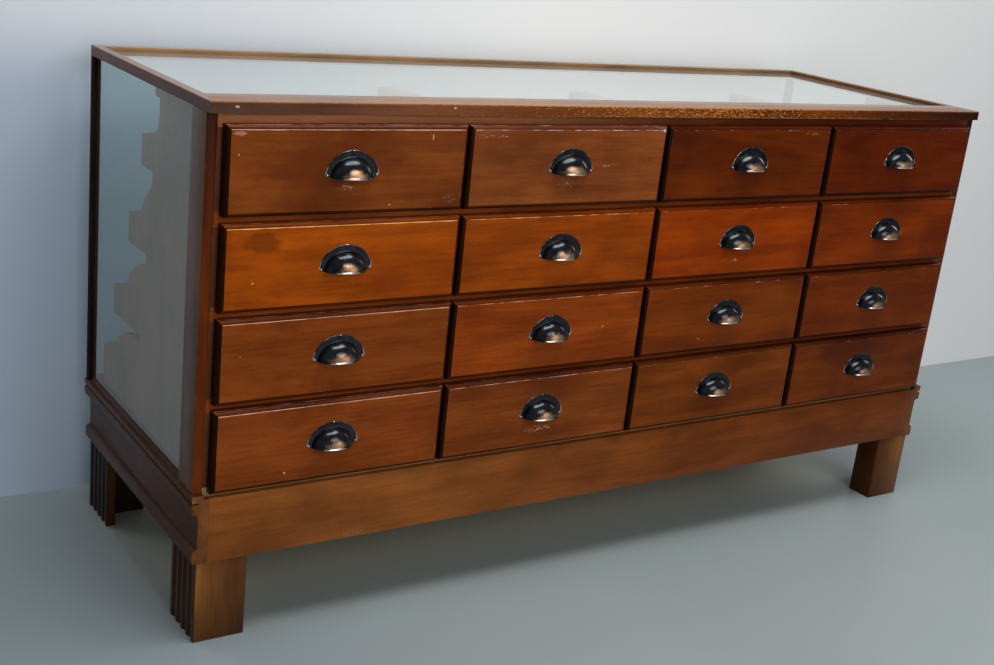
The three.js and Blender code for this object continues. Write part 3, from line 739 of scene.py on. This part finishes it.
def drawer_front(node, name, body, tone, rubbed):
    low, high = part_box(node)
    rings = ovolo_rings(low.y + FRONT_THICK)
    points = []
    for inset, y, _ in rings:
        points += [(low.x + inset, y, low.z + inset), (high.x - inset, y, low.z + inset),
                   (high.x - inset, y, high.z - inset), (low.x + inset, y, high.z - inset)]
    faces, notes = [(3, 2, 1, 0)], [("left", 0, 0)]
    for ring in range(len(rings) - 1):
        for corner, side in enumerate(SIDE_WEAR):
            a, b = ring * 4 + corner, ring * 4 + (corner + 1) % 4
            faces.append((a, b, b + 4, a + 4))
            notes.append((side, rings[ring][2], rings[ring + 1][2]))
    last = (len(rings) - 1) * 4
    faces.append((last, last + 1, last + 2, last + 3))
    notes.append(("field", 0, 0))
    mesh = new_mesh(name, points, faces)
    flat = len(rings) - FIELD_RINGS

    def wear_of(face, corner):
        side, near, far = notes[face.index]
        if side == "field":
            return 0.0
        inner = mesh.loops[corner].vertex_index >= 4 * ((face.index - 1) // 4 + 1)
        return (far if inner else near) * SIDE_WEAR[side] * rubbed

    def tone_of(face, corner):
        side = notes[face.index][0]
        ring = (face.index - 1) // 4
        if side == "field" or ring >= flat:
            return tone
        return times(tone, EDGE_SHADE_TONE[side])

    write_notes(mesh, name, lambda face: "x", wear_of, tone_of)
    return settle(mesh, name, body, drawer_polish, [node], sharp=35)


# %% [markdown]
# ## Drawer boxes
#
# Behind each front is a box that the customer sees from the back of the counter: its sides drop in a
# slanting step to a low end, so that the goods at the rear of the drawer show through the glass. A copy
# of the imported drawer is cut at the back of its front, and the box is softened like any other board.

# %% Keep the box and drop the front
LAP, BOX_SIDE = 7 * mm, 12 * mm  # how far the front laps past its box, and more than a side's thickness


def box_grain(half_inside, centre):
    def grain(face):
        if abs(face.center.x - centre) > half_inside:
            return "y"
        return "flat_x" if abs(face.normal.z) > 0.5 else "x"
    return grain


def drawer_box(node, body):
    low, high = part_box(node)
    centre = (low.x + high.x) / 2
    half_inside = (high.x - low.x) / 2 - LAP - BOX_SIDE
    board(node, box_wood, box_grain(half_inside, centre), 0.6 * mm, 0.7, body=body,
          keep=lambda work: cut(work, (0, low.y + FRONT_THICK + 0.02 * mm, 0), (0, 1, 0), clear_inner=True),
          suffix="box")


# %% Sixteen drawers
# Each front's tone is partly its board's own colour and partly painted light: the right-hand fronts are
# painted darker, where the light fell off, and the bluer tones at the left of the top, lower and bottom rows
# are a painted sheen.
FRONT_COLOURS_AND_LIGHT = {
    "top": [(0.79, 0.85, 1.6), (0.87, 1.04, 2.7), (0.5, 0.35, 0.2), (0.46, 0.24, 0.02)],
    "upper": [(1.45, 1.27, 0.35), (1.11, 0.94, 0.3), (1.11, 0.71, 0.02), (0.76, 0.5, 0.02)],
    "lower": [(0.88, 0.88, 1.3), (1.0, 0.83, 0.8), (0.74, 0.64, 0.43), (0.63, 0.46, 0.15)],
    "bottom": [(0.9, 0.9, 1.6), (0.81, 0.86, 1.5), (0.69, 0.68, 0.62), (0.54, 0.46, 0.34)],
}
# How pale the lines on the top edges are, by column: partly wear and partly a painted highlight that falls
# off to the right.
WORN_AND_LIT_EDGES = (0.95, 0.7, 0.5, 0.45)  # by column
for row, row_colours in FRONT_COLOURS_AND_LIGHT.items():
    for column, (stain, rubbed) in enumerate(zip(row_colours, WORN_AND_LIT_EDGES), start=1):
        node, body = f"drawer_{row}_{column}", f"{row}_drawer_{column}"
        drawer_front(node, f"{node}_front", body, stain, rubbed)
        drawer_box(node, body)

# %% [markdown]
# ## Cup pulls
#
# The pulls are stamped from thin sheet: a half-round flange with a raised rim and a pin at each ear, and
# a hollow cup that swells out of it to a rolled lip. They were bronzed nearly black. Fingers keep the
# lip bright and the lower front of the cup coppery, and the rim and ears shine where cloths catch them.
#
# The section through the middle is drawn once, lip, cup, fillet and inside, and is shrunk towards both
# ends of the mouth, where the lip and the flange meet in the real stamping. The notes `bright` and
# `copper` are worked out from the same section, so the wear sits exactly on the lip.

# %% The middle section of the cup
CUP_HALF, CUP_REACH, CUP_RISE, SHEET = 38 * mm, 26 * mm, 33.5 * mm, 1.3 * mm
FLANGE_HALF, FLANGE_RISE, FLANGE_THICK = 49 * mm, 45 * mm, 1.2 * mm
LIP, PIN_OUT, PIN_UP = 1.3 * mm, 44.6 * mm, 4.4 * mm


def cup_section():
    """(out, up, bright, copper) from the hidden inner edge, round the lip and up to the flange."""
    points = []
    inner_reach, inner_rise = CUP_REACH - LIP - SHEET, CUP_RISE - SHEET
    for step in range(10):
        turn = math.pi / 2 * (1 - step / 10)
        points.append((inner_reach * math.cos(turn), inner_rise * math.sin(turn), 0.1, 0.25))
    lip_out = CUP_REACH - LIP
    for step in range(7):
        turn = math.radians(-170 + step * 40)
        points.append((lip_out + LIP * math.cos(turn), LIP + LIP * math.sin(turn), 1.0, 0.3))
    reach = CUP_REACH - 0.7 * mm
    for step in range(1, 15):
        turn = math.pi / 2 * (0.035 + 0.925 * step / 14)
        height = math.sin(turn)
        points.append((reach * math.cos(turn), CUP_RISE * height, max(0.0, 0.8 - height * 6),
                       min(1.0, max(0.0, 1.5 - height * 2.1))))
    for step in range(1, 5):
        turn = math.pi / 2 * step / 4
        out = FLANGE_THICK + 1.0 * mm * (1 - math.sin(turn))
        points.append((out, CUP_RISE + 1.2 * mm * (1 - math.cos(turn)), 0.32, 0.0))
    return points


section = cup_section()
print("cup section:", len(section), "points")

# %% Sweep the section from one end of the mouth to the other
def grid_faces(start, rows, width):
    """Faces between neighbouring rows of points."""
    corners = [start + i * width + j for i in range(rows - 1) for j in range(width - 1)]
    return [(a, a + 1, a + width + 1, a + width) for a in corners]


def column_angles():
    """Even steps, with five close together at the seam in the middle of the flange."""
    steps = 40
    angles = [math.pi * i / steps for i in range(steps + 1)]
    return sorted(angles + [math.pi / 2 + near for near in (-0.036, -0.018, 0.018, 0.036)])


def cup_mesh(chance):
    points, notes, faces, angles = [], [], [], column_angles()
    rubbed = chance.uniform(0.45, 0.8)
    for angle in angles:
        shrink, side = max(math.sin(angle), 0.02), -math.cos(angle)
        for out, up, bright, copper in section:
            points.append((side * CUP_HALF, out * shrink, up * shrink))
            patch = math.exp(-((side + 0.05) / rubbed) ** 2)
            lip = math.exp(-((side + 0.12) / 0.58) ** 4)
            notes.append((bright * (0.15 + 0.85 * lip if bright > 0.33 else 1.0), copper * patch))
    faces += grid_faces(0, len(angles), len(section))
    add_flange(points, notes, faces, angles)
    for side in (-1, 1):
        add_pin(points, notes, faces, side * PIN_OUT, PIN_UP)
    return points, notes, faces


# %% Flange with its raised rim
FLANGE_ROWS = [  # share of the way out from the cup, height, brightness
    (0.0, 1.2, 0.2), (0.08, 1.2, 0.05), (0.45, 1.1, 0.0), (0.8, 1.15, 0.0),
    (0.88, 1.35, 0.2), (0.93, 1.55, 0.45), (0.97, 1.5, 0.55), (1.0, 1.0, 0.4), (1.0, 0.0, 0.1),
]


def add_flange(points, notes, faces, angles):
    start = len(points)
    inner_half, inner_rise = CUP_HALF + 0.3 * mm, CUP_RISE + 1.0 * mm
    for share, height, bright in FLANGE_ROWS:
        half = inner_half + (FLANGE_HALF - inner_half) * share
        rise = inner_rise + (FLANGE_RISE - inner_rise) * share
        foot = 6 * mm * max(0.0, (share - 0.3) / 0.7) ** 2
        first = math.asin(foot / rise)
        for angle in angles:
            turn = first + (math.pi - 2 * first) * angle / math.pi
            seam = max(0.0, 1 - abs(angle - math.pi / 2) / 0.03)
            ear = max(0.0, 1 - min(angle, math.pi - angle) / 0.38)
            lift = 0.3 * seam * (share < 0.95)
            edge_drop = 0.75 * ear * (height > 0.3) * max(0.0, 1 - min(angle, math.pi - angle) / 0.05)
            points.append((-half * math.cos(turn), (height + lift - edge_drop) * mm, rise * math.sin(turn)))
            notes.append((min(1.0, bright + 0.4 * seam + 1.6 * ear * max(0.0, share - 0.35)), 0.0))
    width = len(angles)
    faces += grid_faces(start, len(FLANGE_ROWS), width)
    for j in (0, width - 1):
        foot_row = [start + i * width + j for i in range(len(FLANGE_ROWS))]
        base = len(points)
        for index in foot_row:
            x, y, z = points[index]
            points.append((x, 0.0, z))
            notes.append((0.3, 0.0))
        for i in range(len(foot_row) - 1):
            quad = (foot_row[i], foot_row[i + 1], base + i + 1, base + i)
            faces.append(quad if j else quad[::-1])


# %% A domed pin in each ear
def add_pin(points, notes, faces, x, z, around=14):
    start = len(points)
    rings = [(2.3, 1.0, 0.1), (2.2, 1.5, 0.2), (1.6, 2.1, 0.7), (0.7, 2.4, 0.9)]
    for radius, height, bright in rings:
        for step in range(around):
            turn = 2 * math.pi * step / around
            points.append((x + radius * mm * math.cos(turn), height * mm, z + radius * mm * math.sin(turn)))
            notes.append((bright, 0.1))
    for ring in range(len(rings) - 1):
        for step in range(around):
            a = start + ring * around + step
            b = start + ring * around + (step + 1) % around
            faces.append((a, b, b + around, a + around))
    last = start + (len(rings) - 1) * around
    faces.append(tuple(range(last, last + around)))


# %% [markdown]
# ## Worn bronze
#
# The dark finish is a thin blue-black lacquer over brass, so it keeps a sharp dielectric gloss on a
# nearly black metal. Under it, copper comes up first and clean metal last. The two notes decide where,
# and a fine noise breaks up the boundary.

# %% Mix the metal
def worn_bronze():
    finish = Finish("worn bronze")
    bright, copper, place = finish.note("bright"), finish.note("copper"), finish.note("grain", 1)
    cloud = finish.noise(place, (90, 90, 90), detail=3, rough=0.6)
    speck = finish.noise(place, (700, 700, 700), detail=2)
    patina = finish.mix(cloud.step(0.35, 0.65), (0.012, 0.014, 0.018), (0.026, 0.031, 0.038))
    warm = (copper * 1.1 + (cloud - 0.5) * 0.9 + (speck - 0.5) * 0.5).step(0.35, 0.95)
    clean = (bright * 1.15 + (cloud - 0.5) * 0.7 + (speck - 0.5) * 0.4).step(0.5, 0.9)
    colour = finish.mix(warm, patina, (0.55, 0.31, 0.17))
    colour = finish.mix(clean, colour, (0.78, 0.64, 0.58))
    shader = finish.principled(
        Base_Color=colour,
        Metallic=0.85 + 0.15 * warm.larger(clean),
        Roughness=0.19 + (speck - 0.5) * 0.1 + warm * 0.14,
        Coat_Weight=0.24 * (1 - warm.larger(clean)),
        Coat_Roughness=0.1,
        Normal=finish.relief(cloud * 0.6 + speck * 0.4, 0.12 * mm, 0.35),
    )
    return finish.surface(shader)


bronze = worn_bronze()
print("made", bronze.name)

# %% Sixteen pulls
def cup_pull(node, name, body):
    low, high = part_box(node)
    points, notes, faces = cup_mesh(random.Random(name))
    centre = (low.x + high.x) / 2
    mesh = new_mesh(name, [(centre + x, high.y - y, low.z + z) for x, y, z in points], faces)
    offset = cut_offset(name)
    for key, values in zip(("bright", "copper"), zip(*notes)):
        leave_note(mesh, key, values, "POINT")
    leave_note(mesh, "grain", [list(vertex.co + offset) for vertex in mesh.vertices], "POINT")
    return settle(mesh, name, body, bronze, [node], sharp=60)


for row in FRONT_COLOURS_AND_LIGHT:
    for column in range(1, 5):
        cup_pull(f"pull_{row}_{column}", f"cup_pull_{row}_{column}", f"{row}_drawer_{column}")

# %% [markdown]
# ## Glass
#
# The panes are flat, faintly green and dusty. Solid refracting glass is true to life but leaves all
# behind it black, because lamps can't shine through it. A pane this thin hardly bends light, so its
# surface is a mix of clear and mirror, and Fresnel says how much of each. Light mirrors at both faces, so
# the face it enters by carries the shine of both, and the face it leaves by has none. The film of dust
# turns milky where a pane is seen aslant, most of all on top, where dust lies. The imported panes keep
# their shape.

# %% Mix the glass
def pane_glass(name, film_level, haze_colour, mirror_colour, clear_colour):
    finish = Finish(name)
    place = finish.node("ShaderNodeTexCoord", out=3)
    smear = finish.noise(place, (5, 5, 1.6), detail=4, twist=1.5)
    dust = finish.noise(place, (160, 160, 160), detail=2)
    entering = 1 - finish.geometry("Backfacing")
    lying = finish.part(finish.geometry("Normal"), 2).larger(0)
    facing = 1 - finish.node("ShaderNodeLayerWeight", {}, {"Blend": 0.5}, out="Facing")
    film = (smear.step(0.45, 0.8) * 0.5 + dust.step(0.55, 0.8) * 0.25) * 0.015 + film_level + lying * 0.032
    film = film / (facing + 0.01) * entering
    mirror = finish.node("ShaderNodeBsdfGlossy", {}, {"Color": mirror_colour, "Roughness": 0.012})
    clear = finish.node("ShaderNodeBsdfTransparent", {}, {"Color": clear_colour})
    haze = finish.node("ShaderNodeBsdfDiffuse", {}, {"Color": haze_colour})
    fresnel = finish.node("ShaderNodeFresnel", {}, {"IOR": 1.5})
    shine = 2 * fresnel / (1 + fresnel) * entering
    body = finish.node("ShaderNodeMixShader", {}, {0: film, 1: clear, 2: haze})
    return finish.surface(finish.node("ShaderNodeMixShader", {}, {0: shine, 1: body, 2: mirror}))


top_pane = pane_glass("top glass", 0.001, (0.8, 0.83, 0.84), (0.98, 0.99, 0.98), (0.955, 0.98, 0.98))
# The side panes' haze is partly dust and partly painted light: its warm colour stands in for light on the end
# panels behind them.
side_pane = pane_glass("side glass", 0.0165, (1.0, 0.67, 0.42), (0.85, 0.88, 0.82), (0.9, 0.98, 0.985))
for node in ("top_glass", "side_glass_left", "side_glass_right", "rear_glass"):
    pane = frame["nodes"][node]
    pane.data.materials.clear()
    pane.data.materials.append(top_pane if node == "top_glass" else side_pane)
print("four panes of", top_pane.name, "and", side_pane.name)

# %% [markdown]
# ## Floor, wall, lamps and camera
#
# The cabinet stands on a pale painted floor close to a plain wall, and the wall matters: it is what the
# top glass mirrors. The wall is clear from behind, so that the rear of the cabinet can be looked at too.
# Both carry painted shade: they are a little darker towards the left, the way a room falls off away
# from its window, and the wall is darker still at the left below the cabinet's top, where its shadow
# falls. The floor is paler and warmer under the cabinet, a painted light as if bounced from the wood.
# The light is a soft lamp overhead, weak ones from the right and from behind, one in front, a broad one
# from the left and a low one at the front right. They are set at a level where a colour renders about
# as it is written. Polish and glass don't mirror the broad lamp and the one behind.

# %% Floor and wall
def paint(name, light, dark, shine, scale, left_end, right_end, shade, top=None):
    """Plain paint that darkens from right_end to left_end, and on a wall mostly below a height: painted shade
    for the room's falloff and the cabinet's shadow. On a floor it is paler and warmer under the cabinet, a
    painted bounce light.
    """
    finish = Finish(name)
    place = finish.node("ShaderNodeTexCoord", out=3)
    cloud = finish.noise(place, (scale, scale, scale), detail=4)
    grit = finish.noise(place, (60, 60, 60), detail=3)
    colour = finish.mix(cloud.step(0.3, 0.7), light, dark)
    across = finish.part(place, 0)
    shaded = 1 - across.step(left_end, right_end)
    if top:
        shaded = shaded * (1 - finish.part(place, 2).step(top - 0.12, top + 0.06) * 0.55)
    colour = finish.mix(shaded, colour, times(light, shade))
    # On a floor, painted warm light lies under the cabinet, as if bounced from the wood.
    if not top:
        depth = finish.part(place, 1)
        painted_bounce = across.step(-0.95, -0.75) * (1 - across.step(0.7, 1.0))
        painted_bounce = painted_bounce * depth.step(-0.32, -0.05) * (1 - depth.step(0.2, 0.36))
        colour = finish.mix(painted_bounce, colour, times(light, (1.28, 1.14, 0.88)))
    shader = finish.principled(Base_Color=colour, Roughness=shine + (cloud - 0.5) * 0.2,
                               Normal=finish.relief(grit, 0.3 * mm, 0.3))
    return finish, shader


def sheet(name, corners, finish):
    mesh = new_mesh(name, corners, [(0, 1, 2, 3)])
    mesh.materials.append(finish)
    made = bpy.data.objects.new(name, mesh)
    bpy.context.scene.collection.objects.link(made)
    return made


ROOM, CEILING, GAP = 9, 4, 87 * mm  # half the floor's width, the wall's height and its distance
floor_finish, floor_shader = paint("floor paint", (0.29, 0.335, 0.35), (0.265, 0.31, 0.32), 0.45, 1.3,
                                   -1.3, -0.2, (0.7, 0.74, 0.78))
floor_paint = floor_finish.surface(floor_shader)
sheet("floor", [(-ROOM, -ROOM, 0), (ROOM, -ROOM, 0), (ROOM, ROOM, 0), (-ROOM, ROOM, 0)], floor_paint)

wall_y = rear + GAP
wall_finish, wall_shader = paint("wall paint", (0.78, 0.79, 0.79), (0.75, 0.765, 0.77), 0.9, 0.8,
                                 -0.95, 0.3, (0.52, 0.61, 0.76), 0.93)
behind = wall_finish.geometry("Backfacing")
clear = wall_finish.node("ShaderNodeBsdfTransparent")
see_through = wall_finish.node("ShaderNodeMixShader", {}, {0: behind, 1: wall_shader, 2: clear})
corners = [(-ROOM, wall_y, 0), (ROOM, wall_y, 0), (ROOM, wall_y, CEILING), (-ROOM, wall_y, CEILING)]
wall = sheet("wall", corners, wall_finish.surface(see_through))
wall.visible_shadow = False
wall.visible_diffuse = False
print("wall", round(GAP / mm), "mm behind the cabinet")

# %% Lamps
def lamp(name, place, target, size, power, colour, mirrored=True):
    light = bpy.data.lights.new(name, "AREA")
    light.shape, light.size, light.size_y = "ELLIPSE", *size
    light.energy, light.color = power, colour
    made = bpy.data.objects.new(name, light)
    made.location = place
    made.visible_glossy = mirrored
    made.rotation_mode = "QUATERNION"
    made.rotation_quaternion = (Vector(target) - Vector(place)).to_track_quat("-Z", "Y")
    bpy.context.scene.collection.objects.link(made)


lamp("ceiling lamp", (-0.1, -0.75, 3.3), (-0.1, -0.2, 0.5), (2.6, 1.3), 73, (1.0, 0.99, 0.97))
lamp("right lamp", (3.6, 0.1, 2.0), (0.3, 0.0, 0.5), (1.6, 1.6), 22, (1.0, 0.99, 0.97))
lamp("front lamp", (0.15, -3.6, 2.3), (0.0, -0.2, 0.6), (2.4, 1.2), 32, (1.0, 0.98, 0.95))
lamp("left lamp", (-1.5, -4.3, 1.3), (-0.4, -0.2, 0.5), (2.8, 1.8), 42, (1.0, 0.98, 0.96), mirrored=False)
lamp("low lamp", (2.0, -4.7, 0.9), (0.0, -0.2, 0.6), (2.0, 1.7), 12, (0.98, 0.99, 1.0))
lamp("rear lamp", (-2.6, 2.6, 2.2), (-0.3, 0.1, 0.5), (2.4, 1.6), 30, (1.0, 0.95, 0.88), mirrored=False)
world = bpy.data.worlds.new("room light")
world.use_nodes = True
background = world.node_tree.nodes["Background"].inputs
background["Color"].default_value, background["Strength"].default_value = (0.50, 0.53, 0.56, 1), 0.4
bpy.context.scene.world = world
bpy.context.scene.view_settings.view_transform = "Standard"
print("six lamps and the room")

# %% Camera
YAW, PITCH, ROLL = (math.radians(angle) for angle in (34.829, 17.653, 6.405))
CAMERA_PLACE, SENSOR, LENS = (-1.663874, -2.189147, 1.257282), 36, 48.642
ahead = Vector((math.sin(YAW) * math.cos(PITCH), math.cos(YAW) * math.cos(PITCH), -math.sin(PITCH)))
level = Vector((math.cos(YAW), -math.sin(YAW), 0))
upward = level.cross(ahead)
to_right = math.cos(ROLL) * level + math.sin(ROLL) * upward
to_top = math.cos(ROLL) * upward - math.sin(ROLL) * level
camera_data = bpy.data.cameras.new("camera")
camera_data.sensor_fit, camera_data.sensor_width, camera_data.lens = "HORIZONTAL", SENSOR, LENS
camera = bpy.data.objects.new("camera", camera_data)
turned = Matrix((to_right, to_top, -ahead)).transposed().to_4x4()
camera.matrix_world = Matrix.Translation(CAMERA_PLACE) @ turned
bpy.context.scene.collection.objects.link(camera)
bpy.context.scene.camera = camera
print("camera lens", camera_data.lens, "mm")
